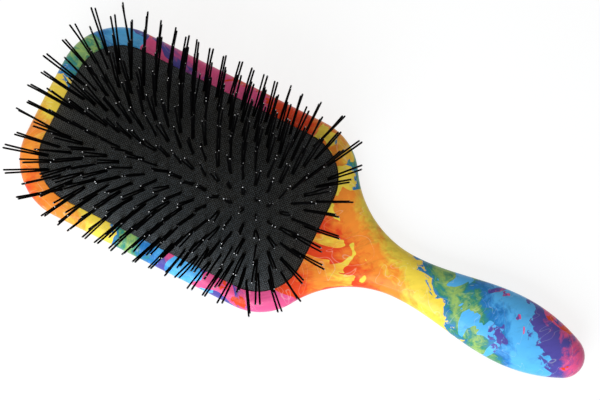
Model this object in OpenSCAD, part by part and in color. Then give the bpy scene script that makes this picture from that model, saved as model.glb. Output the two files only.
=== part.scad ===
// Detangling paddle brush: one moulded handle and frame, an air cushion of black rubber held by its bead,
// and a hexagonal field of black nylon tufts, two strands to a tuft, fanned by the cushion's crown.
// Millimetres, +Z up. The origin is on the flat back under the middle of the cushion. +X runs to the handle.

/* [Head] */
// Width of the frame beside the cushion's long sides
frame_width = 7.9; // [6.5:0.05:10]
// Width of the frame at the cushion's far end
end_frame_width = 8.6; // [7:0.05:10]
// Radius of the head's four corners in plan
head_corner_radius = 25; // [20:0.5:28]
// How far the far end bows forward of its own corners
end_bow = 1.2; // [0:0.1:2]
// Height of the frame above the flat back
frame_height = 11.5; // [10:0.5:14]
// Width of the rounding round the head's edge
edge_rounding = 5.4; // [4:0.1:6]
// Thickness of the back wall under the cushion
back_wall = 3; // [2:0.1:4]

/* [Handle] */
// From the opening's near end to the narrowest point of the neck
neck_run = 42.35; // [38:0.05:48]
// Half of the neck's width
neck_half_width = 9.65; // [8:0.1:11]
// Radius of the hollow flare between shoulder and neck
flare_radius = 45; // [40:0.5:50]
// From the neck to the widest point of the grip
grip_rise = 47.5; // [40:0.5:55]
// Half of the grip's width
grip_half_width = 14.9; // [12:0.1:17]
// From the grip's widest point to the handle's end
grip_run = 34.2; // [28:0.1:37]
// Radius of the grip's long sides in plan
grip_side_radius = 68; // [60:1:90]
// Thickness of the neck
neck_thickness = 12.6; // [11:0.1:15]
// Thickness of the grip
grip_thickness = 16.6; // [14:0.1:20]
// How far the handle's underside stands off the flat back's plane
handle_lift = 0.6; // [0.4:0.1:2]

/* [Cushion] */
// From the outermost tufts to the opening's ends
end_margin = 5.8; // [5:0.05:8]
// From the outermost rows of tufts to the opening's long sides
side_margin = 3.75; // [3.4:0.05:6]
// Radius of the opening's corners
opening_corner_radius = 20; // [16:0.5:24]
// Height of the cushion's crown above the frame
crown_height = 10; // [6:0.5:12]
// Thickness of the rubber
rubber = 1.3; // [1:0.1:2]
// Width of the bead that the frame's groove holds
bead_width = 1.6; // [1:0.1:2.4]
// Height of the bead
bead_height = 2.1; // [1.6:0.1:3]
// Thickness of the frame's lip over the bead
groove_lip = 2.6; // [2:0.1:3.2]
// Diameter of the hole that lets air out through the back
vent_diameter = 2.5; // [2:0.1:4]

/* [Tufts] */
// Distance between tufts along a row
tuft_pitch = 5.7; // [5.2:0.05:6.4]
// Distance between rows, measured over the crown
row_pitch = 5.61; // [5:0.01:6]
// Free length of a strand
strand_length = 27.3; // [20:0.1:32]
// Diameter of a strand
strand_diameter = 0.8; // [0.5:0.02:1]
// Gap between the two strands of a tuft at their tips
tip_spread = 1.5; // [1:0.05:2.4]
// Lean of the outermost strands to the long sides, in degrees
side_lean = 30; // [20:1:36]
// Lean of the outermost strands to the short ends, in degrees
end_lean = 38; // [20:1:40]

/* [Hidden] */
$fn = 48;
// Gap between pieces that slide past each other
running_gap = 0.35;
// Gap between pieces that sit in each other
seat_gap = 0.05;
// Gap between the rubber's wall and the frame's opening
wall_gap = 0.3;
// Thickness of the slice of rubber that each ring of tufts stands in
skin = 0.6;
// Gap between the slices and the rubber under them, which also takes up the sag of their facets
sink_gap = 0.6;
// How deep a strand's root sits in its slice
root_depth = 0.4;
// One overrun for all cuts
overrun = 1;
// Extra depth of the moulding that is cut away to leave the flat back
back_trim = 0.25;
// From the middle of the cushion to the vent
vent_reach = 45;

// Half of the count of spaces between the tufts of a row, from the middle row out
half_counts = [9.5, 9, 9.5, 9, 9.5, 9, 6.5];
side_rows = len(half_counts) - 1;
// Radius of the crown across the rows, over which the row pitch is measured
arch_radius = 55;
// Fall of the crown: powers across, along and where the two meet
across_power = 2.5;
along_power = 4;
meeting_power = 1.6;
// Rise of the lean from the middle out: the share that rises evenly, and the power of the rest
side_even_share = 0.17;
side_lean_power = 1.7;
end_even_share = 0.17;
end_lean_power = 9;
// How much less the strands lean sideways at the ends, and endways at the sides
side_corner_share = 0.33;
end_corner_share = 0.6;
side_corner_power = 3;
end_corner_power = 2;
// How far a strand's root stands from its tuft's middle, as a share of its diameter
root_share = 0.6;
// Seed for the direction in which each pair of strands opens
spread_seed = 7;

// Rings of tufts, from the frame inward, each a body of its own
ring_count = 4;
ring_corner_radius = 4;
// Places of the first edge between rings, counted in tufts and in rows from the middle
edge_tuft_count = 8.75;
edge_row_count = 5.5;

// The opening follows the field of tufts, and the head follows the opening
field_half_length = half_counts[0] * tuft_pitch;
field_half_width = row_y(side_rows);
opening_half_length = field_half_length + end_margin;
opening_half_width = field_half_width + side_margin;
head_half_width = opening_half_width + frame_width;
head_reach = opening_half_length + end_frame_width;
neck_reach = opening_half_length + neck_run;
groove_top = frame_height - groove_lip;
groove_height = bead_height + 2 * seat_gap;
groove_floor = groove_top - groove_height;
cushion_drop = skin + sink_gap;

function mix(a, b, t) = a + (b - a) * t;
function clamp01(t) = min(1, max(0, t));
function eased(t) = (1 - cos(180 * clamp01(t))) / 2;

// Plan of the moulding, half of it, from the far end of the head round to the handle's end.
// Each entry is a point, its outward direction and the width of its rounding.
shoulder_y = head_half_width - head_corner_radius;
flare_y = neck_half_width + flare_radius;
shoulder_x = neck_reach - sqrt(pow(head_corner_radius + flare_radius, 2) - pow(flare_y - shoulder_y, 2));
shoulder_turn = atan2(flare_y - shoulder_y, neck_reach - shoulder_x);
grip_x = neck_reach + grip_rise;
grip_centre_y = grip_half_width - grip_side_radius;
end_radius = (pow(grip_side_radius, 2) - pow(grip_run, 2) - pow(grip_centre_y, 2))
    / (2 * (grip_side_radius - grip_run));
end_x = grip_x + grip_run - end_radius;
end_turn = atan2(-grip_centre_y, end_x - grip_x);
// Share of the half width that the rounding of the handle takes
handle_round_share = 0.95;
neck_rounding = neck_half_width * handle_round_share;
corner_x = head_corner_radius - head_reach;

function arc_entry(cx, cy, r, turn, side, round) =
    [cx + r * cos(turn), cy + r * sin(turn), side * cos(turn), side * sin(turn), round];
function flare_round(x) =
    mix(edge_rounding, neck_rounding, eased((x - shoulder_x) / (neck_reach - shoulder_x)));
function grip_width(t) = mix(neck_half_width, grip_half_width, eased(t));
function grip_slope(t) = (grip_half_width - neck_half_width) * sin(180 * t) * PI / 2 / grip_rise;
function grip_entry(t) = let (w = grip_width(t), n = sqrt(1 + pow(grip_slope(t), 2)))
    [neck_reach + grip_rise * t, w, -grip_slope(t) / n, 1 / n, w * n * handle_round_share];
function bowed(e) = [e[0] + end_bow * pow(e[1] / head_half_width, 2), e[1], e[2], e[3], e[4]];

far_end = [for (i = [0 : 2]) bowed([-head_reach, shoulder_y * i / 3, -1, 0, edge_rounding])];
far_corner = [for (i = [0 : 8])
    bowed(arc_entry(corner_x, shoulder_y, head_corner_radius, 180 - 90 * i / 8, 1, edge_rounding))];
long_side = [for (i = [1 : 3]) [mix(corner_x, shoulder_x, i / 4), head_half_width, 0, 1, edge_rounding]];
shoulder = [for (i = [0 : 5]) let (turn = mix(90, shoulder_turn, i / 6))
    arc_entry(shoulder_x, shoulder_y, head_corner_radius, turn, 1,
        flare_round(shoulder_x + head_corner_radius * cos(turn)))];
flare = [for (i = [0 : 7]) let (turn = mix(180 + shoulder_turn, 270, i / 8))
    arc_entry(neck_reach, flare_y, flare_radius, turn, -1,
        flare_round(neck_reach + flare_radius * cos(turn)))];
grip = [for (i = [0 : 8]) grip_entry(i / 9)];
grip_side = [for (i = [0 : 3]) let (turn = mix(90, end_turn, i / 4),
        y = grip_centre_y + grip_side_radius * sin(turn))
    arc_entry(grip_x, grip_centre_y, grip_side_radius, turn, 1, y / sin(turn) * handle_round_share)];
handle_end = [for (i = [0 : 7]) arc_entry(end_x, 0, end_radius, mix(end_turn, 0, i / 7), 1,
    end_radius * handle_round_share)];
half_plan = concat(far_end, far_corner, long_side, shoulder, flare, grip, grip_side, handle_end);
last = len(half_plan) - 1;
plan = concat(half_plan,
    [for (j = [last - 1 : -1 : 1]) let (e = half_plan[j]) [e[0], -e[1], e[2], -e[3], e[4]]]);

// Upper and lower faces of the moulding along its length
function upper(x) = x < neck_reach
    ? mix(frame_height, handle_lift + neck_thickness, eased((x - shoulder_x) / (neck_reach - shoulder_x)))
    : handle_lift + mix(neck_thickness, grip_thickness, eased((x - neck_reach) / grip_rise));
function lower(x) = mix(-back_trim, handle_lift, eased((x - shoulder_x) / (neck_reach - shoulder_x)));

// Rings of the loft, from the lower face round the edge to the upper one
loft_turns = [for (i = [0 : 8]) mix(-90, 90, i / 8)];
function loft_point(e, turn) =
    let (k = e[4] * (1 - cos(turn)), top = upper(e[0]), bottom = lower(e[0]))
    [e[0] - e[2] * k, e[1] - e[3] * k, (top + bottom) / 2 + (top - bottom) / 2 * sin(turn)];

// Triangles between two neighbouring rings of n points
function strip(base, n, flip) = [for (i = [0 : n - 1]) let (
        a = base + i, b = base + (i + 1) % n, c = b + n, d = a + n)
    each flip ? [[a, c, b], [a, d, c]] : [[a, b, c], [a, c, d]]];
// Triangles that close a ring whose second half mirrors its first
function ladder(base, n, flip) = let (h = n / 2) concat(
    flip ? [[base, base + n - 1, base + 1]] : [[base, base + 1, base + n - 1]],
    [for (j = [1 : h - 2]) let (a = base + j, b = a + 1, c = base + n - j - 1, d = base + n - j)
        each flip ? [[a, c, b], [a, d, c]] : [[a, b, c], [a, c, d]]],
    flip ? [[base + h - 1, base + h + 1, base + h]] : [[base + h - 1, base + h, base + h + 1]]);

module moulding() {
    n = len(plan);
    points = [for (turn = loft_turns) each [for (e = plan) loft_point(e, turn)]];
    faces = concat(
        ladder(0, n, false),
        [for (k = [0 : len(loft_turns) - 2]) each strip(k * n, n, true)],
        ladder((len(loft_turns) - 1) * n, n, true));
    polyhedron(points = points, faces = faces);
}

module rounded_plate(half_length, half_width, radius, height) {
    linear_extrude(height = height) {
        square([2 * half_length, 2 * (half_width - radius)], center = true);
        square([2 * (half_length - radius), 2 * half_width], center = true);
        for (sx = [-1, 1]) {
            for (sy = [-1, 1]) {
                translate([sx * (half_length - radius), sy * (half_width - radius)])
                    circle(r = radius);
            }
        }
    }
}

module handle_body() {
    color("tomato")
    difference() {
        moulding();
        translate([-2 * head_reach, -2 * head_half_width, -2 * back_trim])
            cube([4 * head_reach, 4 * head_half_width, 2 * back_trim]);
        translate([0, 0, back_wall])
            rounded_plate(opening_half_length, opening_half_width, opening_corner_radius,
                frame_height);
        translate([0, 0, groove_floor])
            rounded_plate(opening_half_length + bead_width + 2 * seat_gap,
                opening_half_width + bead_width + 2 * seat_gap,
                opening_corner_radius + bead_width + 2 * seat_gap, groove_height);
        translate([vent_reach, 0, -overrun])
            cylinder(d = vent_diameter, h = back_wall + 2 * overrun);
    }
}

// Height of the cushion's outer surface above the frame
function crown(x, y) = crown_height * (1 - pow(
    pow(abs(x) / opening_half_length, along_power * meeting_power)
    + pow(abs(y) / opening_half_width, across_power * meeting_power), 1 / meeting_power));

// Steps in each corner of the opening, and in each corner of the edges between rings
opening_steps = 4;
ring_steps = 2;
// Shares of the straight sides at which they have points. The crown is nearly flat between them.
long_shares = [0.15, 0.85];
short_shares = [0.17, 0.5, 0.83];
// Points of a rounded rectangle, as many for every size
function quarter(hl, hw, r, start, steps) = let (
        cx = (start == 0 || start == 270 ? 1 : -1) * (hl - r),
        cy = (start < 180 ? 1 : -1) * (hw - r))
    [for (i = [0 : steps]) [cx + r * cos(start + 90 * i / steps), cy + r * sin(start + 90 * i / steps)]];
function between(a, b, shares) = [for (s = shares) [mix(a[0], b[0], s), mix(a[1], b[1], s)]];
function rounded_points(hl, hw, r, steps) = let (
        q = [for (start = [0, 90, 180, 270]) quarter(hl, hw, r, start, steps)])
    concat(
        q[0], between(q[0][steps], q[1][0], long_shares),
        q[1], between(q[1][steps], q[2][0], short_shares),
        q[2], between(q[2][steps], q[3][0], long_shares),
        q[3], between(q[3][steps], q[0][0], short_shares));

function on_crown(flat, drop) = [for (p = flat) [p[0], p[1], frame_height + crown(p[0], p[1]) - drop]];
function on_level(flat, level) = [for (p = flat) [p[0], p[1], level]];
function opening_points(inset, share) = rounded_points((opening_half_length - inset) * share,
    (opening_half_width - inset) * share, (opening_corner_radius - inset) * share, opening_steps);

// A closed stack of rings of points, capped at both ends by a point
module ring_stack(rings, first, final) {
    n = len(rings[0]);
    count = len(rings);
    points = concat([for (r = rings) each r], [first, final]);
    faces = concat(
        [for (i = [0 : n - 1]) [count * n, i, (i + 1) % n]],
        [for (k = [0 : count - 2]) each strip(k * n, n, true)],
        [for (i = [0 : n - 1]) let (b = (count - 1) * n) [count * n + 1, b + (i + 1) % n, b + i]]);
    polyhedron(points = points, faces = faces);
}

// Shares of the opening at which the rubber's rings lie, from its middle out
crown_shares = [0.38, 0.64, 0.82, 0.93];
under_shares = [0.45, 0.8];

module air_cushion() {
    bead_floor = groove_floor + seat_gap;
    bead_top = groove_top - seat_gap;
    inner = wall_gap + rubber;
    under_drop = cushion_drop + rubber;
    color("dimgray")
    ring_stack(concat(
        [for (s = under_shares) on_crown(opening_points(inner, s), under_drop)],
        [on_crown(opening_points(inner, 1), under_drop + rubber)],
        [on_level(opening_points(inner, 1), bead_floor)],
        [on_level(opening_points(-bead_width, 1), bead_floor)],
        [on_level(opening_points(-bead_width, 1), bead_top)],
        [on_level(opening_points(wall_gap, 1), bead_top)],
        [on_crown(opening_points(wall_gap, 1), cushion_drop)],
        [for (i = [len(crown_shares) - 1 : -1 : 0]) on_crown(opening_points(wall_gap, crown_shares[i]),
            cushion_drop)]),
        [0, 0, frame_height + crown(0, 0) - under_drop],
        [0, 0, frame_height + crown(0, 0) - cushion_drop]);
}

// Where a row lies across the brush, and how its strands lean
function row_y(j) = sign(j) * arch_radius * sin(abs(j) * row_pitch / arch_radius * 180 / PI);
function risen(share, even_share, power) = even_share * share + (1 - even_share) * pow(share, power);
function lean(x, y) = let (
        sx = abs(x) / field_half_length,
        sy = abs(y) / field_half_width,
        endways = tan(end_lean) * risen(sx, end_even_share, end_lean_power),
        sideways = tan(side_lean) * risen(sy, side_even_share, side_lean_power))
    [sign(x) * endways * (1 - end_corner_share * pow(sy, end_corner_power)),
        sign(y) * sideways * (1 - side_corner_share * pow(sx, side_corner_power)), 1];

// Outer edge of a ring in plan, as half length and half width. Edge 0 is the opening's.
function edge_half_length(k) = (edge_tuft_count - (k - 1)) * tuft_pitch;
function edge_half_width(k) = row_y(edge_row_count - (k - 1));
function edge_points(k, grow, steps) = k == 0
    ? opening_points(wall_gap - grow, 1)
    : rounded_points(edge_half_length(k) + grow, edge_half_width(k) + grow, ring_corner_radius + grow, steps);

// Which ring a tuft belongs to, counted from the frame inward
function ring_of(x, y) = len([for (k = [1 : ring_count])
    if (abs(x) < edge_half_length(k) && abs(y) < edge_half_width(k)) k]) + 1;

module slice(k) {
    half_gap = running_gap / 2;
    steps = k == 1 ? opening_steps : ring_steps;
    outer = edge_points(k - 1, -half_gap, steps);
    inner = edge_points(k, half_gap, steps);
    middle = (inner + outer) / 2;
    n = len(inner);
    points = concat(on_crown(inner, skin), on_crown(middle, skin), on_crown(outer, skin),
        on_crown(outer, 0), on_crown(middle, 0), on_crown(inner, 0));
    polyhedron(points = points, faces = concat(
        [for (i = [0 : 4]) each strip(i * n, n, true)],
        [for (i = [0 : n - 1]) let (a = 5 * n + i, b = 5 * n + (i + 1) % n, c = (i + 1) % n)
            each [[a, c, b], [a, i, c]]]));
}

// Shares of the innermost slice at which its rings lie
core_shares = [0.55, 1];

module core_slice() {
    half_gap = running_gap / 2;
    hl = edge_half_length(ring_count) - half_gap;
    hw = edge_half_width(ring_count) - half_gap;
    r = ring_corner_radius - half_gap;
    flats = [for (s = core_shares) rounded_points(hl * s, hw * s, r * s, ring_steps)];
    ring_stack(concat([for (f = flats) on_crown(f, skin)],
            [for (i = [len(flats) - 1 : -1 : 0]) on_crown(flats[i], 0)]),
        [0, 0, frame_height + crown(0, 0) - skin], [0, 0, frame_height + crown(0, 0)]);
}

// One strand from its root along its lean
module strand(root, direction) {
    run = norm(direction);
    translate(root)
        rotate([0, acos(direction[2] / run), atan2(direction[1], direction[0])])
            translate([0, 0, -root_depth])
                cylinder(d = strand_diameter, h = strand_length + root_depth, $fn = 3);
}

// All tufts of one ring, two strands each
module tufts(ring) {
    row_stride = 2 * max(half_counts) + 1;
    turns = rands(0, 180, row_stride * (2 * side_rows + 1), spread_seed);
    for (j = [-side_rows : side_rows]) {
        reach = half_counts[abs(j)];
        for (i = [0 : 2 * reach]) {
            x = (i - reach) * tuft_pitch;
            y = row_y(j);
            if (ring_of(x, y) == ring) {
                turn = turns[(j + side_rows) * row_stride + i];
                along = lean(x, y);
                unit = along / norm(along);
                for (s = [-1, 1]) {
                    out = s * [cos(turn), sin(turn), 0];
                    root = [x, y, 0] + out * strand_diameter * root_share;
                    spread = (tip_spread / 2 - strand_diameter * root_share) / strand_length;
                    strand([root[0], root[1], frame_height + crown(root[0], root[1])], unit + out * spread);
                }
            }
        }
    }
}

module tuft_ring_1() { color("black") { slice(1); tufts(1); } }
module tuft_ring_2() { color("black") { slice(2); tufts(2); } }
module tuft_ring_3() { color("black") { slice(3); tufts(3); } }
module tuft_ring_4() { color("black") { slice(4); tufts(4); } }
module tuft_crown() { color("black") { core_slice(); tufts(ring_count + 1); } }

handle_body();
air_cushion();
tuft_ring_1();
tuft_ring_2();
tuft_ring_3();
tuft_ring_4();
tuft_crown();
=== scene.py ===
import math
import random

import bpy
from mathutils import Matrix, Vector


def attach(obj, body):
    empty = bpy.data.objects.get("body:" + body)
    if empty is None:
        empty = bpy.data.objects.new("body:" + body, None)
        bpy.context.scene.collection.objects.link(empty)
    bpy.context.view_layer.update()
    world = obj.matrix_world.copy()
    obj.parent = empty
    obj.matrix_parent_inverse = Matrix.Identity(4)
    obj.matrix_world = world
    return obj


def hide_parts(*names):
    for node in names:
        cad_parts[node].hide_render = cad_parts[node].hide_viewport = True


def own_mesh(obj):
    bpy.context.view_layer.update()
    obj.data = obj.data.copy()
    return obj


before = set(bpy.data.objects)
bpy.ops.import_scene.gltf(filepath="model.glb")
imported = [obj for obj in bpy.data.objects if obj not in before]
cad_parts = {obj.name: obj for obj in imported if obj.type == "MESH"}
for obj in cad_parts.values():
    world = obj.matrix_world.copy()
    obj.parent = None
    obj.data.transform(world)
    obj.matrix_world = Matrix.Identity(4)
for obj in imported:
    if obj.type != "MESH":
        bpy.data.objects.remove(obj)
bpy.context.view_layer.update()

bl_info = {
    "name": "Detangling paddle brush",
    "version": (1, 0, 0),
    "blender": (4, 5, 0),
    "location": "3D View > Sidebar > Brush",
    "description": "Models a paddle brush with a printed moulding, a rubber air cushion and nylon tufts",
    "category": "Object",
}

MM = 0.001
SMOOTH_ANGLE = math.radians(35)


def mm(name, text, default):
    return bpy.props.FloatProperty(
        name=name, description=text, default=default * MM, unit="LENGTH", precision=5)


def angle(name, text, default):
    return bpy.props.FloatProperty(
        name=name, description=text, default=math.radians(default), subtype="ANGLE")


def colour(name, text, default):
    return bpy.props.FloatVectorProperty(
        name=name, description=text, default=default, subtype="COLOR", size=3, min=0, max=1)


class BrushSizes(bpy.types.PropertyGroup):
    """Sizes of the brush: the part's own, except for the strands' length, spread and lean"""
    head_half_width: mm("Head half width", "Half of the head's width", 43.25)
    head_reach: mm("Head reach", "From the cushion's middle to the head's far end", 68.55)
    head_corner: mm("Head corner", "Radius of the head's corners in plan", 25)
    end_bow: mm("End bow", "How far the far end bows forward of its corners", 1.2)
    frame_height: mm("Frame height", "Height of the frame above the flat back", 11.5)
    edge_rounding: mm("Edge rounding", "Width of the rounding round the head", 5.4)
    back_wall: mm("Back wall", "Thickness of the wall under the cushion", 3)
    neck_reach: mm("Neck reach", "From the cushion's middle to the neck", 102.3)
    neck_half_width: mm("Neck half width", "Half of the neck's width", 9.65)
    flare_radius: mm("Flare radius", "Radius of the hollow flare", 45)
    grip_rise: mm("Grip rise", "From the neck to the widest point of the grip", 47.5)
    grip_half_width: mm("Grip half width", "Half of the grip's width", 14.9)
    grip_run: mm("Grip run", "From the widest point of the grip to the end", 34.2)
    grip_side: mm("Grip side radius", "Radius of the grip's long sides", 68)
    neck_thickness: mm("Neck thickness", "Thickness of the neck", 12.6)
    grip_thickness: mm("Grip thickness", "Thickness of the grip", 16.6)
    handle_lift: mm("Handle lift", "How far the handle stands off the back's plane", 0.6)
    opening_half_length: mm("Opening half length", "Half of the opening's length", 59.95)
    opening_half_width: mm("Opening half width", "Half of the opening's width", 35.35)
    opening_corner: mm("Opening corner", "Radius of the opening's corners", 20)
    crown_height: mm("Crown height", "Height of the crown above the frame", 10)
    rubber: mm("Rubber", "Thickness of the cushion's rubber", 1.3)
    groove_lip: mm("Lip", "Thickness of the frame's lip over the bead", 2.6)
    bead_width: mm("Bead width", "Width of the cushion's bead", 1.6)
    bead_height: mm("Bead height", "Height of the cushion's bead", 2.1)
    vent: mm("Vent", "Diameter of the air vent in the back", 2.5)
    vent_reach: mm("Vent reach", "From the cushion's middle to the vent", 45)
    tuft_pitch: mm("Tuft pitch", "Distance between tufts along a row", 5.7)
    row_pitch: mm("Row pitch", "Distance between rows over the crown", 5.61)
    arch_radius: mm("Arch radius", "Radius of the crown across the rows", 55)
    strand_length: mm("Strand length", "Free length of a strand", 27.6)
    strand_diameter: mm("Strand diameter", "Diameter of a strand", 0.8)
    tip_spread: mm("Tip spread", "Gap between the strands of a tuft at their tips", 1.4)
    side_lean: angle("Side lean", "Lean of the strands next to the long sides", 29.5)
    end_lean: angle("End lean", "Lean that the strands next to the short ends rise towards", 39)
    press: mm("Press", "How far the crown gives", 5)


class BrushColours(bpy.types.PropertyGroup):
    """Colours of the brush's print, rubber and nylon"""
    coral: colour("Coral", "Warm red of the print", (0.82, 0.06, 0.013))
    orange: colour("Orange", "Orange of the print", (0.93, 0.27, 0.03))
    yellow: colour("Yellow", "Yellow of the print", (0.93, 0.68, 0.07))
    leaf: colour("Leaf", "Yellow green of the print", (0.34, 0.52, 0.13))
    green: colour("Green", "Sea green of the print", (0.035, 0.26, 0.17))
    blue: colour("Blue", "Blue of the print", (0.02, 0.19, 0.55))
    sky: colour("Sky", "Sky blue of the print", (0.10, 0.47, 0.90))
    violet: colour("Violet", "Violet of the print", (0.09, 0.075, 0.36))
    pink: colour("Pink", "Pink of the print", (0.82, 0.10, 0.28))
    rubber: colour("Rubber", "Black of the cushion", (0.0165, 0.0134, 0.009))
    nylon: colour("Nylon", "Black of the strands", (0.0022, 0.0021, 0.0024))
    # Pale colour of the strands' cut ends: a painted glint that stands in for light reflected off the black
    # nylon
    painted_glint: colour("Strand tip", "Cut end of a strand", (0.8, 0.8, 0.82))
    floor: colour("Floor", "Pale floor", (0.9, 0.9, 0.9))


def mix(a, b, t):
    return a + (b - a) * t


def eased(t):
    """0 up to t = 0, 1 from t = 1, and a smooth rise between them"""
    return (1 - math.cos(math.pi * min(1, max(0, t)))) / 2


def risen(t, even, power):
    """A rise from 0 to 1 that is partly even and partly a power of t"""
    return even * t + (1 - even) * t ** power


def hump(t, middle, half_width):
    """1 at the middle, and 0 from half the width outward"""
    return max(0, 1 - ((t - middle) / half_width) ** 2)


# Steps of modelling

def select_only(*objects):
    """Deselects all and selects these, the last one active"""
    if bpy.context.object and bpy.context.object.mode != "OBJECT":
        bpy.ops.object.mode_set(mode="OBJECT")
    bpy.ops.object.select_all(action="DESELECT")
    for obj in objects:
        obj.hide_set(False)
        obj.select_set(True)
        bpy.context.view_layer.objects.active = obj


def settle(obj):
    """Puts the object's place, turn and scale into its mesh"""
    select_only(obj)
    bpy.ops.object.transform_apply(location=True, rotation=True, scale=True)


def apply_modifiers(obj):
    select_only(obj)
    for modifier in list(obj.modifiers):
        bpy.ops.object.modifier_apply(modifier=modifier.name)


def add_bevel(obj, width, segments, sharper_than):
    """Rounds the edges that are sharper than an angle in degrees"""
    bevel = obj.modifiers.new("soft_edges", "BEVEL")
    bevel.width = width
    bevel.segments = segments
    bevel.limit_method = "ANGLE"
    bevel.angle_limit = math.radians(sharper_than)


def give_material(obj, material):
    obj.data.materials.clear()
    obj.data.materials.append(material)


def wrapped_grid(name, columns, rows, place, closed=True):
    """A grid primitive whose points are laid over a form: place(column, row) gives each point"""
    bpy.ops.object.select_all(action="DESELECT")
    bpy.ops.mesh.primitive_grid_add(x_subdivisions=columns - 1, y_subdivisions=rows - 1, size=2)
    obj = bpy.context.object
    obj.name = obj.data.name = name
    for vertex in obj.data.vertices:
        i = round((vertex.co.x + 1) / 2 * (columns - 1))
        j = round((vertex.co.y + 1) / 2 * (rows - 1))
        vertex.co = place(i, j)
    select_only(obj)
    bpy.ops.object.mode_set(mode="EDIT")
    bpy.ops.mesh.select_all(action="SELECT")
    bpy.ops.mesh.remove_doubles(threshold=0.01 * MM)
    if closed:
        bpy.ops.mesh.normals_make_consistent(inside=False)
    bpy.ops.object.mode_set(mode="OBJECT")
    bpy.ops.object.shade_smooth()
    return obj


def rounded_box(name, half_length, half_width, radius, low, high):
    """A cube stretched to size, its four upright edges bevelled round"""
    bpy.ops.object.select_all(action="DESELECT")
    bpy.ops.mesh.primitive_cube_add(size=2, location=(0, 0, (low + high) / 2),
                                    scale=(half_length, half_width, (high - low) / 2))
    obj = bpy.context.object
    obj.name = obj.data.name = name
    settle(obj)
    bpy.ops.object.mode_set(mode="EDIT")
    bpy.ops.mesh.select_all(action="DESELECT")
    bpy.ops.mesh.select_mode(type="EDGE")
    bpy.ops.object.mode_set(mode="OBJECT")
    for edge in obj.data.edges:
        a, b = (obj.data.vertices[i].co for i in edge.vertices)
        edge.select = abs(a.z - b.z) > (high - low) / 2
    bpy.ops.object.mode_set(mode="EDIT")
    bpy.ops.mesh.bevel(offset=radius, segments=28, affect="EDGES", clamp_overlap=False)
    bpy.ops.object.mode_set(mode="OBJECT")
    return obj


def cut(obj, cutter):
    """Takes the cutter's form out of the object and removes the cutter"""
    select_only(obj)
    boolean = obj.modifiers.new("cut", "BOOLEAN")
    boolean.operation = "DIFFERENCE"
    boolean.solver = "EXACT"
    boolean.object = cutter
    bpy.ops.object.modifier_apply(modifier=boolean.name)
    bpy.data.objects.remove(cutter, do_unlink=True)


# Plan of the moulding

def half_plan(s):
    """Outline of one side, from the far end of the head to the handle's end, and where the flare starts.

    Each entry holds a point, its outward direction and the width of the rounding there.
    """
    round_share = 0.95
    arc_step = 1.6 * MM
    end_points, side_points, grip_points = 12, 40, 30
    corner_x = s.head_corner - s.head_reach
    shoulder_y = s.head_half_width - s.head_corner
    flare_y = s.neck_half_width + s.flare_radius
    shoulder_x = s.neck_reach - math.sqrt(
        (s.head_corner + s.flare_radius) ** 2 - (flare_y - shoulder_y) ** 2)
    shoulder_turn = math.degrees(math.atan2(flare_y - shoulder_y, s.neck_reach - shoulder_x))
    grip_x = s.neck_reach + s.grip_rise
    grip_y = s.grip_half_width - s.grip_side
    grip_gain = s.grip_half_width - s.neck_half_width
    end_radius = (s.grip_side ** 2 - s.grip_run ** 2 - grip_y ** 2) / (2 * (s.grip_side - s.grip_run))
    end_x = grip_x + s.grip_run - end_radius
    end_turn = math.degrees(math.atan2(-grip_y, end_x - grip_x))

    def head_round(x, y, turn):
        return s.edge_rounding

    def flare_round(x, y, turn):
        return mix(s.edge_rounding, s.neck_half_width * round_share,
                   eased((x - shoulder_x) / (s.neck_reach - shoulder_x)))

    def grip_round(x, y, turn):
        return y / math.sin(turn) * round_share

    def end_round(x, y, turn):
        return end_radius * round_share

    def arc(cx, cy, r, start, stop, rounding, side=1, first=0):
        n = max(2, round(r * abs(math.radians(stop - start)) / arc_step))
        for i in range(first, n + 1):
            turn = math.radians(mix(start, stop, i / n))
            x, y = cx + r * math.cos(turn), cy + r * math.sin(turn)
            yield [x, y, side * math.cos(turn), side * math.sin(turn), rounding(x, y, turn)]

    out = [[-s.head_reach, shoulder_y * i / end_points, -1, 0, s.edge_rounding] for i in range(end_points)]
    out += arc(corner_x, shoulder_y, s.head_corner, 180, 90, head_round)
    for entry in out:
        entry[0] += s.end_bow * (entry[1] / s.head_half_width) ** 2
    left = out[-1][0]
    for i in range(1, side_points):
        out.append([mix(left, shoulder_x, i / side_points), s.head_half_width, 0, 1, s.edge_rounding])
    out += arc(shoulder_x, shoulder_y, s.head_corner, 90, shoulder_turn, flare_round)
    out += arc(s.neck_reach, flare_y, s.flare_radius, 180 + shoulder_turn, 270, flare_round,
               side=-1, first=1)
    for i in range(1, grip_points + 1):
        t = i / grip_points
        w = mix(s.neck_half_width, s.grip_half_width, eased(t))
        slope = grip_gain * math.sin(math.pi * t) * math.pi / 2 / s.grip_rise
        k = math.sqrt(1 + slope ** 2)
        out.append([s.neck_reach + s.grip_rise * t, w, -slope / k, 1 / k, w * k * round_share])
    out += arc(grip_x, grip_y, s.grip_side, 90, end_turn, grip_round, first=1)
    out += arc(end_x, 0, end_radius, end_turn, 0, end_round, first=1)
    return out, shoulder_x


# Shapes of the cushion and the tufts

# Half the number of pitches along each row of tufts, from the middle row to the side row
HALF_COUNTS = (9.5, 9, 9.5, 9, 9.5, 9, 7.5)
SIDE_ROWS = len(HALF_COUNTS) - 1
# Rings of tufts round the crown, and where the outermost one begins, in tuft pitches and in rows
RING_COUNT = 4
EDGE_TUFT_COUNT = 8.75
EDGE_ROW_COUNT = 5.5


def crown(s, x, y):
    """Height of the cushion above the frame: a dome that is flatter along the brush than across it"""
    across_power, along_power, roundness = 2.5, 4, 1.6
    across = (abs(y) / s.opening_half_width) ** (across_power * roundness)
    along = (abs(x) / s.opening_half_length) ** (along_power * roundness)
    return s.crown_height * (1 - (across + along) ** (1 / roundness))


def row_y(s, j):
    """Place of a row across the brush, counted from the middle row and spaced over the crown's curve"""
    return math.copysign(s.arch_radius * math.sin(abs(j) * s.row_pitch / s.arch_radius), j)


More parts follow.
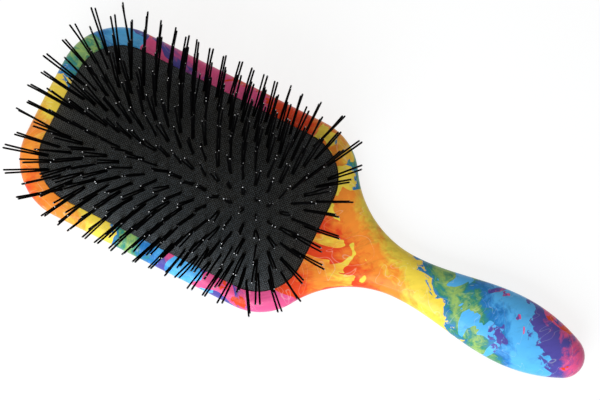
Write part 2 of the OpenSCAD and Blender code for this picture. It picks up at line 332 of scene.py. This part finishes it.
def end_slope(s, along, across):
    """Slope towards the nearer end: slight inside the field, steep at its ends and more so at its corners"""
    even_share, power, steepest = 0.16, 8, 0.75
    side_loss = 0.69
    corner_along, corner_across, corner_gain = 0.66, 0.8, 2
    slope = math.tan(s.end_lean) * min(steepest, risen(along, even_share, power))
    slope *= 1 - side_loss * across ** 2
    at_corner = eased((across - corner_across) / (1 - corner_across))
    return slope + corner_gain * max(0, along - corner_along) * at_corner


def side_slope(s, x, y, along, across):
    """Slope towards the nearer side: less towards the ends, in the side row and at -Y near the handle"""
    gain, power = 1.15, 1.1
    edge_loss, edge_power = 0.18, 8
    end_loss, end_power = 0.5 if x > 0 else 0.85, 3
    handle_loss, handle_start, handle_run = 0.14, -9 * MM, 30 * MM
    slope = math.tan(s.side_lean) * gain * across ** power * (1 - edge_loss * across ** edge_power)
    slope *= 1 - end_loss * along ** end_power * (1 - across ** 2)
    if y < 0:
        slope *= 1 - handle_loss * eased((x - handle_start) / handle_run)
    return slope


def drift(x, y, along, across):
    """Slope towards the head's far end, all over the middle and again at +Y near the handle"""
    middle_drift, middle_spread = 0.054, 0.9
    handle_drift, handle_place, handle_spread, fade = 0.058, 0.69, 0.5, 0.4
    near_handle = hump(math.copysign(along, x), handle_place, handle_spread)
    upper = eased(math.copysign(across, y) / fade)
    return handle_drift * near_handle * upper + middle_drift * hump(along, 0, middle_spread)


def lift(x, across):
    """Slope towards +Y, which grows outward and most of all near the far end"""
    even_lift, side_lift, far_lift = 0.025, 0.02, 0.06
    far_start, far_run = 20 * MM, 30 * MM
    return even_lift + side_lift * across + far_lift * eased((-x - far_start) / far_run) * across ** 2


def lean(s, x, y):
    """Direction of the strands that stand at this place of the field"""
    along = abs(x) / (HALF_COUNTS[0] * s.tuft_pitch)
    across = abs(y) / row_y(s, SIDE_ROWS)
    slope_x = math.copysign(end_slope(s, along, across), x) - drift(x, y, along, across)
    slope_y = math.copysign(side_slope(s, x, y, along, across), y) + lift(x, across)
    return Vector((slope_x, slope_y, 1)).normalized()


def ring_of(s, x, y):
    """Ring that a tuft belongs to, from the frame inward"""
    ring = 1
    for k in range(RING_COUNT):
        if abs(x) < (EDGE_TUFT_COUNT - k) * s.tuft_pitch and abs(y) < row_y(s, EDGE_ROW_COUNT - k):
            ring += 1
    return ring


def tuft_places(s):
    """Places of all tufts in plan, row by row"""
    for j in range(-SIDE_ROWS, SIDE_ROWS + 1):
        reach = HALF_COUNTS[abs(j)]
        for i in range(int(2 * reach) + 1):
            yield (i - reach) * s.tuft_pitch, row_y(s, j)


# Materials

def opaque(tint):
    """A colour, or a grey that is given as one number, with full alpha"""
    return (*tint, 1) if hasattr(tint, "__len__") else (tint, tint, tint, 1)


def scaled(tint, share):
    return tuple(v * share for v in tint)


class Shading:
    """Adds nodes to the node tree of a material or a world, each wired up in one call"""

    def __init__(self, tree):
        self.nodes = tree.nodes
        self.links = tree.links

    def fill(self, node, inputs):
        """Gives inputs their values, and wires those whose value is another node's output"""
        for key, value in inputs.items():
            if isinstance(value, bpy.types.NodeSocket):
                self.links.new(value, node.inputs[key])
            else:
                node.inputs[key].default_value = value

    def add(self, kind, inputs=None, output=0, **settings):
        """Adds a node with these settings and inputs and gives back one of its outputs"""
        node = self.nodes.new("ShaderNode" + kind)
        for key, value in settings.items():
            setattr(node, key, value)
        self.fill(node, inputs or {})
        return node.outputs[output]

    def calc(self, operation, *terms):
        return self.add("Math", dict(enumerate(terms)), operation=operation)

    def noise(self, place, scale, detail, roughness=0.5, distortion=0.0, output="Fac"):
        inputs = {"Vector": place, "Scale": scale, "Detail": detail,
                  "Roughness": roughness, "Distortion": distortion}
        return self.add("TexNoise", inputs, output)

    def blend(self, factor, a, b, blend_type="MIX"):
        inputs = {"Factor": factor, "A": a, "B": b}
        return self.add("Mix", inputs, "Result", data_type="RGBA", blend_type=blend_type)

    def ramp(self, factor, stops, interpolation="EASE"):
        """A colour ramp: each stop is a place and a colour or a grey"""
        node = self.nodes.new("ShaderNodeValToRGB")
        node.color_ramp.interpolation = interpolation
        elements = node.color_ramp.elements
        while len(elements) > 1:
            elements.remove(elements[-1])
        elements[0].position = stops[0][0]
        elements[0].color = opaque(stops[0][1])
        for place, value in stops[1:]:
            elements.new(place).color = opaque(value)
        self.fill(node, {"Fac": factor})
        return node.outputs["Color"]


def new_material(name):
    material = bpy.data.materials.new(name)
    material.use_nodes = True
    shading = Shading(material.node_tree)
    return material, shading, shading.nodes["Principled BSDF"]


def print_waves(shading, place, c):
    """Broad bands of colour along the brush, pushed about in waves, with ragged fronts and patches"""
    push_depth = (0.055, 0.055, 0.055)
    colour_cycles, first_colour = 8.0, 20.275
    ripple_depth, dab_depth, patch_shift = 0.22, 0.15, 0.16
    turned = shading.add("Mapping", {"Vector": place, "Rotation": (0.3, 0.25, math.radians(-38))})
    swirl = shading.noise(turned, 13.0, 1.0, output="Color")
    pushed = shading.add("VectorMath", {0: swirl, 1: push_depth, 2: turned}, operation="MULTIPLY_ADD")
    length = shading.add("SeparateXYZ", {"Vector": pushed}, "X")
    cycle = shading.calc("MULTIPLY_ADD", length, colour_cycles, first_colour)
    ripple = shading.noise(pushed, 85.0, 7.0, 0.6)
    mottled = shading.calc("MULTIPLY_ADD", ripple, ripple_depth, cycle)
    dabs = shading.noise(pushed, 230.0, 5.0, 0.6, 1.2)
    dabbed = shading.calc("MULTIPLY_ADD", dabs, dab_depth, mottled)
    patches = shading.noise(pushed, 42.0, 3.0, 0.5, 0.8)
    shift = shading.ramp(patches, [(0, 0), (0.597, patch_shift)], "CONSTANT")
    part = shading.calc("FRACT", shading.calc("ADD", shift, dabbed))
    bands = shading.ramp(part, [
        (0.0, c.coral), (0.09, c.coral), (0.16, c.orange), (0.20, c.orange), (0.27, c.yellow),
        (0.37, c.yellow), (0.375, c.blue), (0.41, c.green), (0.45, c.leaf), (0.49, c.green), (0.53, c.blue),
        (0.59, c.sky), (0.68, c.sky), (0.685, c.violet), (0.75, c.violet), (0.79, c.pink), (0.91, c.pink),
        (0.915, c.coral)], "LINEAR")
    return pushed, bands


def print_material(c):
    """Gloss plastic with an abstract print: marbled waves with crisp fronts, mottled like watercolour"""
    material, shading, shader = new_material("printed_gloss_plastic")
    place = shading.add("TexCoord", output="Object")
    pushed, bands = print_waves(shading, place, c)
    strokes = shading.add("Mapping", {
        "Vector": pushed, "Rotation": (0, 0, math.radians(24)), "Scale": (90, 420, 200)})
    brushed = shading.noise(strokes, 1.0, 5.0, 0.65)
    tone = shading.ramp(brushed, [(0.32, (0.80, 0.80, 0.82)), (0.5, 0.96), (0.66, 1.0)])
    painted = shading.blend(1.0, bands, tone, "MULTIPLY")
    vein = shading.noise(pushed, 34.0, 2.0, 0.6, 2.2)
    line = shading.ramp(vein, [(0.494, 0), (0.5, 0.22), (0.506, 0)])
    peel = shading.noise(place, 900.0, 2.0)
    handled = shading.noise(place, 40.0, 4.0)
    shading.fill(shader, {
        "Base Color": shading.blend(line, painted, (0.9, 0.95, 0.8, 1)),
        "Roughness": shading.ramp(handled, [(0.35, 0.26), (0.65, 0.4)]),
        "Normal": shading.add("Bump", {"Height": peel, "Strength": 0.03, "Distance": 0.2 * MM}),
        "Specular IOR Level": 0.12,
        "Coat Weight": 0.04,
        "Coat Roughness": 0.06})
    return material


def rubber_material(c):
    """Matt black rubber with a fine slanting woven grain"""
    fleck_depth, mean_sheen = 0.6, 0.3
    thread_turns = (40, -50)
    material, shading, shader = new_material("woven_grain_rubber")
    place = shading.add("TexCoord", output="Object")
    threads = []
    for turn in thread_turns:
        turned = shading.add("Mapping", {"Vector": place, "Rotation": (0, 0, math.radians(turn))})
        threads.append(shading.add("TexWave", {
            "Vector": turned, "Scale": 400.0, "Distortion": 3.4, "Detail": 2.0, "Detail Scale": 3.0}, "Fac"))
    weave = shading.calc("MULTIPLY", *threads)
    fleck = shading.noise(place, 1100.0, 2.0)
    grain = shading.calc("MULTIPLY_ADD", fleck, fleck_depth, weave)
    tone = shading.ramp(grain, [(0.3, scaled(c.rubber, 0.7)), (1.0, scaled(c.rubber, 2.4))], "LINEAR")
    cloud = shading.noise(place, 45.0, 3.0)
    dust = shading.ramp(cloud, [(0.35, 0.75), (0.7, 1.0)])
    sheen = shading.ramp(grain, [(0.3, 0.07), (0.95, 0.56)], "LINEAR")
    # What a program reads that can't follow the ramp
    shader.inputs["Specular IOR Level"].default_value = mean_sheen
    shading.fill(shader, {
        "Base Color": shading.blend(1.0, tone, dust, "MULTIPLY"),
        "Roughness": 0.43,
        "Normal": shading.add("Bump", {"Height": grain, "Strength": 0.6, "Distance": 0.2 * MM}),
        "Specular IOR Level": sheen,
        "Specular Tint": (0.58, 0.79, 1.0, 1)})
    return material


def nylon_material(c):
    """Black extruded nylon with faint variation of its tone and gloss"""
    material, shading, shader = new_material("black_nylon")
    streak = shading.noise(shading.add("TexCoord", output="Object"), 500.0, 2.0)
    shading.fill(shader, {
        "Base Color": shading.ramp(streak, [(0.3, scaled(c.nylon, 0.6)), (0.7, scaled(c.nylon, 1.4))]),
        "Roughness": shading.ramp(streak, [(0.3, 0.42), (0.7, 0.58)]),
        "Specular IOR Level": 0.03})
    return material


def painted_glint_material(c):
    """Cut end of a strand with a painted glint: the end is painted pale on some strands and dark on others,
    in place of the light its cut face reflects
    """
    material, shading, shader = new_material("cut_nylon_painted_glint")
    speck = shading.noise(shading.add("TexCoord", output="Object"), 420.0, 1.0)
    shading.fill(shader, {
        "Base Color": shading.ramp(speck, [(0.42, scaled(c.painted_glint, 0.03)), (0.62, tuple(c.painted_glint))]),
        "Roughness": 0.35,
        "Specular IOR Level": 0.3})
    return material


def seen_rays(shading):
    """1 for the rays that show the pale surroundings: the camera's, mirrored ones and those through glass"""
    path = shading.nodes.new("ShaderNodeLightPath")
    seen = path.outputs["Is Camera Ray"]
    for kind in ("Is Glossy Ray", "Is Transmission Ray"):
        seen = shading.calc("MAXIMUM", seen, path.outputs[kind])
    return seen


def floor_material(c):
    """Pale floor that glows for the rays that see it and is clear from below, so that the back shows"""
    glow_share = 0.78
    material, shading, shader = new_material("pale_floor")
    shading.fill(shader, {"Base Color": opaque(c.floor), "Roughness": 0.9})
    glow = shading.add("Emission", {"Color": opaque(1), "Strength": 1.06})
    amount = shading.calc("MULTIPLY", seen_rays(shading), glow_share)
    upper = shading.add("MixShader", {0: amount, 1: shader.outputs["BSDF"], 2: glow})
    backface = shading.add("NewGeometry", output="Backfacing")
    clear = shading.add("BsdfTransparent")
    sided = shading.add("MixShader", {0: backface, 1: upper, 2: clear})
    shading.fill(shading.nodes["Material Output"], {"Surface": sided})
    return material


# Pieces and their operators

def moulding_form(s):
    """The handle and frame as one closed form, before its opening, groove and vent are cut"""
    half, shoulder_x = half_plan(s)
    plan = half + [[x, -y, nx, -ny, rounding] for x, y, nx, ny, rounding in reversed(half[1:-1])]
    cap_rows = 5
    round_rows = 20
    rows = 2 * cap_rows + round_rows + 1
    back_trim = 0.25 * MM

    def flared(x):
        return eased((x - shoulder_x) / (s.neck_reach - shoulder_x))

    def upper(x):
        if x < s.neck_reach:
            return mix(s.frame_height, s.handle_lift + s.neck_thickness, flared(x))
        return s.handle_lift + mix(s.neck_thickness, s.grip_thickness,
                                   eased((x - s.neck_reach) / s.grip_rise))

    def lower(x):
        return mix(-back_trim, s.handle_lift, flared(x))

    def place(i, j):
        x, y, nx, ny, rounding = plan[i % len(plan)]
        top, bottom = upper(x), lower(x)
        turn = math.radians(mix(-90, 90, min(1, max(0, (j - cap_rows) / round_rows))))
        inset = rounding * (1 - math.cos(turn))
        px, py = x - nx * inset, y - ny * inset
        if j < cap_rows:
            py *= j / cap_rows
        if j > cap_rows + round_rows:
            py *= (rows - 1 - j) / cap_rows
        pz = (top + bottom) / 2 + (top - bottom) / 2 * math.sin(turn)
        return (px, py, max(0, pz))

    return wrapped_grid("moulding", len(plan) + 1, rows, place)


def vent_cutter(s):
    """A cylinder through the back wall, as wide as the vent"""
    bpy.ops.object.select_all(action="DESELECT")
    bpy.ops.mesh.primitive_cylinder_add(vertices=32, radius=s.vent / 2, depth=s.back_wall * 4,
                                        location=(s.vent_reach, 0, 0))
    cylinder = bpy.context.object
    settle(cylinder)
    return cylinder


class BRUSH_OT_moulding(bpy.types.Operator):
    """Model the one-piece handle and frame with its opening, groove and vent"""
    bl_idname = "brush.moulding"
    bl_label = "Handle and frame"

    def execute(self, context):
        s = context.scene.brush_sizes
        slack = 0.1 * MM
        edge_radius = 0.35 * MM
        body = moulding_form(s)
        cut(body, rounded_box("opening_cutter", s.opening_half_length, s.opening_half_width,
                              s.opening_corner, s.back_wall, s.frame_height * 2))
        groove_top = s.frame_height - s.groove_lip
        extra = s.bead_width + slack
        cut(body, rounded_box("groove_cutter", s.opening_half_length + extra, s.opening_half_width + extra,
                              s.opening_corner + extra, groove_top - s.bead_height - slack, groove_top))
        cut(body, vent_cutter(s))
        add_bevel(body, edge_radius, segments=3, sharper_than=50)
        apply_modifiers(body)
        bpy.ops.object.shade_smooth_by_angle(angle=SMOOTH_ANGLE)
        give_material(body, print_material(context.scene.brush_colours))
        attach(body, "paddle")
        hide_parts("handle_body")
        return {"FINISHED"}


def cushion_top(s):
    """The rubber's upper face as a grid over the opening, with a dimple round each tuft"""
    gap = 0.12 * MM
    half_length = s.opening_half_length - gap
    half_width = s.opening_half_width - gap
    radius = s.opening_corner - gap
    inner_width = half_width - radius
    inner_length = half_length - radius
    corner_rows = 16
    middle_rows = 60
    columns = 170
    dimple_depth = 0.22 * MM
    dimple_radius = 1.3 * MM
    tufts = list(tuft_places(s))

    def row_place(j):
        """Distance across and half length of a row of the cushion's grid"""
        if j < corner_rows:
            turn = math.pi / 2 * (1 - j / corner_rows)
            return -(inner_width + radius * math.sin(turn)), inner_length + radius * math.cos(turn)
        if j > corner_rows + middle_rows:
            turn = math.pi / 2 * (j - corner_rows - middle_rows) / corner_rows
            return inner_width + radius * math.sin(turn), inner_length + radius * math.cos(turn)
        return mix(-inner_width, inner_width, (j - corner_rows) / middle_rows), half_length

    def place(i, j):
        y, reach = row_place(j)
        x = reach * mix(-1, 1, i / (columns - 1))
        z = s.frame_height + crown(s, x, y)
        for tuft_x, tuft_y in tufts:
            distance = math.hypot(x - tuft_x, y - tuft_y)
            if distance < dimple_radius:
                z -= dimple_depth * eased(1 - distance / dimple_radius)
        return (x, y, z)

    return wrapped_grid("cushion", columns, 2 * corner_rows + middle_rows + 1, place, closed=False)


def cushion_form(s):
    """The cushion's upper face with a skirt down into the opening, given the rubber's thickness"""
    skirt = 1.9 * MM
    edge_radius = 0.35 * MM
    pad = cushion_top(s)
    select_only(pad)
    bpy.ops.object.mode_set(mode="EDIT")
    bpy.ops.mesh.select_mode(type="EDGE")
    bpy.ops.mesh.select_all(action="SELECT")
    bpy.ops.mesh.normals_make_consistent(inside=False)
    bpy.ops.mesh.region_to_loop()
    bpy.ops.mesh.extrude_region_move(TRANSFORM_OT_translate={"value": (0, 0, -skirt)})
    bpy.ops.object.mode_set(mode="OBJECT")
    if sum(face.normal.z for face in pad.data.polygons) < 0:
        pad.data.flip_normals()
    add_bevel(pad, edge_radius, segments=2, sharper_than=40)
    wall = pad.modifiers.new("wall", "SOLIDIFY")
    wall.thickness = s.rubber
    wall.offset = -1
    apply_modifiers(pad)
    return pad


def bead_form(s):
    """The rim that holds the cushion in the frame's groove"""
    slack = 0.05 * MM
    top = s.frame_height - s.groove_lip - slack
    bead = rounded_box("cushion_bead", s.opening_half_length + s.bead_width,
                       s.opening_half_width + s.bead_width, s.opening_corner + s.bead_width,
                       top - s.bead_height, top)
    inner = rounded_box("bead_cutter", s.opening_half_length - s.rubber, s.opening_half_width - s.rubber,
                        s.opening_corner - s.rubber, top - 3 * s.bead_height, top + 3 * s.bead_height)
    cut(bead, inner)
    select_only(bead)
    bpy.ops.object.shade_smooth_by_angle(angle=SMOOTH_ANGLE)
    return bead


class BRUSH_OT_cushion(bpy.types.Operator):
    """Model the domed rubber cushion and its bead"""
    bl_idname = "brush.cushion"
    bl_label = "Air cushion"

    def execute(self, context):
        s = context.scene.brush_sizes
        rubber = rubber_material(context.scene.brush_colours)
        pad = cushion_form(s)
        give_material(pad, rubber)
        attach(pad, "paddle")
        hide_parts("air_cushion")
        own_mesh(pad)

        bead = bead_form(s)
        give_material(bead, rubber)
        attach(bead, "paddle")
        return {"FINISHED"}


def model_strand(s, nylon, painted_glint):
    """One strand along +Z: a six-sided ring drawn up in narrowing steps, with a small round end"""
    sides = 6
    root_depth = 2 * MM
    cap_height = 0.02 * MM
    bpy.ops.object.select_all(action="DESELECT")
    bpy.ops.mesh.primitive_circle_add(vertices=sides, radius=s.strand_diameter / 2, fill_type="NGON",
                                      location=(0, 0, -root_depth))
    strand = bpy.context.object
    settle(strand)
    bpy.ops.object.mode_set(mode="EDIT")
    bpy.ops.mesh.select_mode(type="VERT")
    bpy.ops.mesh.select_all(action="SELECT")
    shaft = ((0.35, 0.96), (0.35, 0.95), (0.28, 0.97), (0.012, 0.94), (0.008, 0.8))
    steps = [(root_depth, 1.12)]
    steps += [(s.strand_length * share, narrowing) for share, narrowing in shaft]
    steps += [(cap_height, 0.62)]
    for rise, narrowing in steps:
        bpy.ops.mesh.extrude_region_move(TRANSFORM_OT_translate={"value": (0, 0, rise)})
        bpy.ops.transform.resize(value=(narrowing, narrowing, 1))
    bpy.ops.mesh.select_all(action="SELECT")
    bpy.ops.mesh.normals_make_consistent(inside=False)
    bpy.ops.object.mode_set(mode="OBJECT")
    strand.data.materials.append(nylon)
    strand.data.materials.append(painted_glint)
    # The flat end faces get the material with the painted glint
    for face in strand.data.polygons:
        face.use_smooth = True
        is_tip = face.center.z > s.strand_length and len(face.vertices) == sides
        face.material_index = 1 if is_tip else 0
    return strand


def stand_strand(s, model, chance, root, way, out):
    """A copy of the strand on its root, with a length, a bow and a turn of its own"""
    shortest, longest = 0.965, 1.0
    bow_inward, bow_outward = -0.3 * MM, 0.08 * MM
    strand = bpy.data.objects.new("strand", model.data.copy())
    bpy.context.collection.objects.link(strand)
    length = chance.uniform(shortest, longest)
    bow = out * chance.uniform(bow_inward, bow_outward)
    for vertex in strand.data.vertices:
        t = max(0, vertex.co.z / s.strand_length)
        vertex.co += bow * t * (1 - t) * 4
        vertex.co.z *= length
    spin = Matrix.Rotation(chance.uniform(0, math.pi), 4, "Z")
    aim = way.to_track_quat("Z", "Y").to_matrix().to_4x4()
    strand.matrix_world = Matrix.Translation(root) @ aim @ spin
    return strand


class BRUSH_OT_tufts(bpy.types.Operator):
    """Model one strand, copy it in pairs over the crown and join the copies of each ring"""
    bl_idname = "brush.tufts"
    bl_label = "Tufts"

    def execute(self, context):
        s = context.scene.brush_sizes
        colours = context.scene.brush_colours
        model = model_strand(s, nylon_material(colours), painted_glint_material(colours))
        rings = {k: [] for k in range(1, RING_COUNT + 2)}
        chance = random.Random(11)
        tuft_scatter, strand_scatter = 0.02, 0.008
        base = s.strand_diameter / 2
        spread = (s.tip_spread / 2 - base) / s.strand_length

        def stray(scatter):
            return Vector((chance.gauss(0, scatter), chance.gauss(0, scatter), 0))

        for x, y in tuft_places(s):
            along = lean(s, x, y) + stray(tuft_scatter)
            turn = chance.uniform(0, math.pi)
            for side in (-1, 1):
                out = Vector((math.cos(turn), math.sin(turn), 0)) * side
                root = Vector((x, y, s.frame_height + crown(s, x, y))) + out * base
                way = (along + out * spread + stray(strand_scatter)).normalized()
                rings[ring_of(s, x, y)].append(stand_strand(s, model, chance, root, way, out))
        bpy.data.objects.remove(model, do_unlink=True)
        for k, strands in rings.items():
            select_only(*strands)
            bpy.ops.object.join()
            tufts = context.object
            node = f"tuft_ring_{k}" if k <= RING_COUNT else "tuft_crown"
            body = f"ring_{k}_tufts" if k <= RING_COUNT else "crown_tufts"
            tufts.name = tufts.data.name = node.replace("tuft", "nylon")
            settle(tufts)
            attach(tufts, body)
            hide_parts(node)
        return {"FINISHED"}


class BRUSH_OT_stage(bpy.types.Operator):
    """Set the floor, the soft studio lights, the pale surroundings and the camera"""
    bl_idname = "brush.stage"
    bl_label = "Stage"

    def execute(self, context):
        scene = context.scene
        scene.view_settings.view_transform = "Standard"
        floor_drop = 0.05 * MM
        bpy.ops.object.select_all(action="DESELECT")
        bpy.ops.mesh.primitive_plane_add(size=6, location=(0, 0, -floor_drop))
        floor = context.object
        floor.name = "floor"
        give_material(floor, floor_material(scene.brush_colours))

        self.surroundings(scene)
        self.lamp("key_light", place=(0.08, -0.52, 0.42), size=0.5, power=5.6, tint=(0.88, 0.95, 1.0))
        self.lamp("fill_light", place=(-0.32, 0.1, 0.6), size=0.5, power=1.05, tint=(1.0, 0.9, 0.75))
        self.camera(scene)
        return {"FINISHED"}

    def surroundings(self, scene):
        """A dim white light from all round, which looks brighter to the rays that see it"""
        world = bpy.data.worlds.new("studio")
        scene.world = world
        world.use_nodes = True
        shading = Shading(world.node_tree)
        light = shading.nodes["Background"]
        shading.fill(light, {"Color": opaque(1), "Strength": 0.3})
        seen = shading.add("Background", {"Color": opaque(0.8), "Strength": 1.0})
        both = shading.add("MixShader", {0: seen_rays(shading), 1: light.outputs[0], 2: seen})
        shading.fill(shading.nodes["World Output"], {"Surface": both})

    def lamp(self, name, place, size, power, tint):
        """A square soft light that is aimed at the brush"""
        aim = Vector((0.03, 0, 0.02))
        bpy.ops.object.select_all(action="DESELECT")
        bpy.ops.object.light_add(type="AREA", location=place)
        lamp = bpy.context.object
        lamp.name = name
        lamp.data.size = size
        lamp.data.energy = power
        lamp.data.color = tint
        lamp.rotation_euler = (aim - lamp.location).to_track_quat("-Z", "Y").to_euler()

    def camera(self, scene):
        """A camera a little off the head's lower side, aimed at the middle of the picture"""
        place = Vector((50.4, -16.0, 437.2)) * MM
        aim = Vector((47.49, 8.78, 11.5)) * MM
        turn = math.radians(26.72)
        data = bpy.data.cameras.new("photo_camera")
        camera = bpy.data.objects.new("photo_camera", data)
        scene.collection.objects.link(camera)
        back = (place - aim).normalized()
        right = Vector((math.cos(turn), math.sin(turn), 0))
        right = (right - back * right.dot(back)).normalized()
        up = back.cross(right)
        camera.matrix_world = Matrix.Translation(place) @ Matrix((right, up, back)).transposed().to_4x4()
        data.sensor_width = 36
        data.lens = 61.29
        data.clip_start = 0.01
        scene.camera = camera


class BRUSH_PT_panel(bpy.types.Panel):
    """Buttons for the brush's pieces and its stage"""
    bl_idname = "BRUSH_PT_panel"
    bl_label = "Paddle brush"
    bl_space_type = "VIEW_3D"
    bl_region_type = "UI"
    bl_category = "Brush"

    def draw(self, context):
        for operator in OPERATORS:
            self.layout.operator(operator.bl_idname)


OPERATORS = (BRUSH_OT_moulding, BRUSH_OT_cushion, BRUSH_OT_tufts, BRUSH_OT_stage)
CLASSES = (BrushSizes, BrushColours, *OPERATORS, BRUSH_PT_panel)


def register():
    for cls in CLASSES:
        bpy.utils.register_class(cls)
    bpy.types.Scene.brush_sizes = bpy.props.PointerProperty(type=BrushSizes)
    bpy.types.Scene.brush_colours = bpy.props.PointerProperty(type=BrushColours)


def unregister():
    del bpy.types.Scene.brush_colours
    del bpy.types.Scene.brush_sizes
    for cls in reversed(CLASSES):
        bpy.utils.unregister_class(cls)


def main():
    register()
    bpy.ops.brush.moulding()
    bpy.ops.brush.cushion()
    bpy.ops.brush.tufts()
    bpy.ops.brush.stage()


if __name__ == "__main__":
    main()
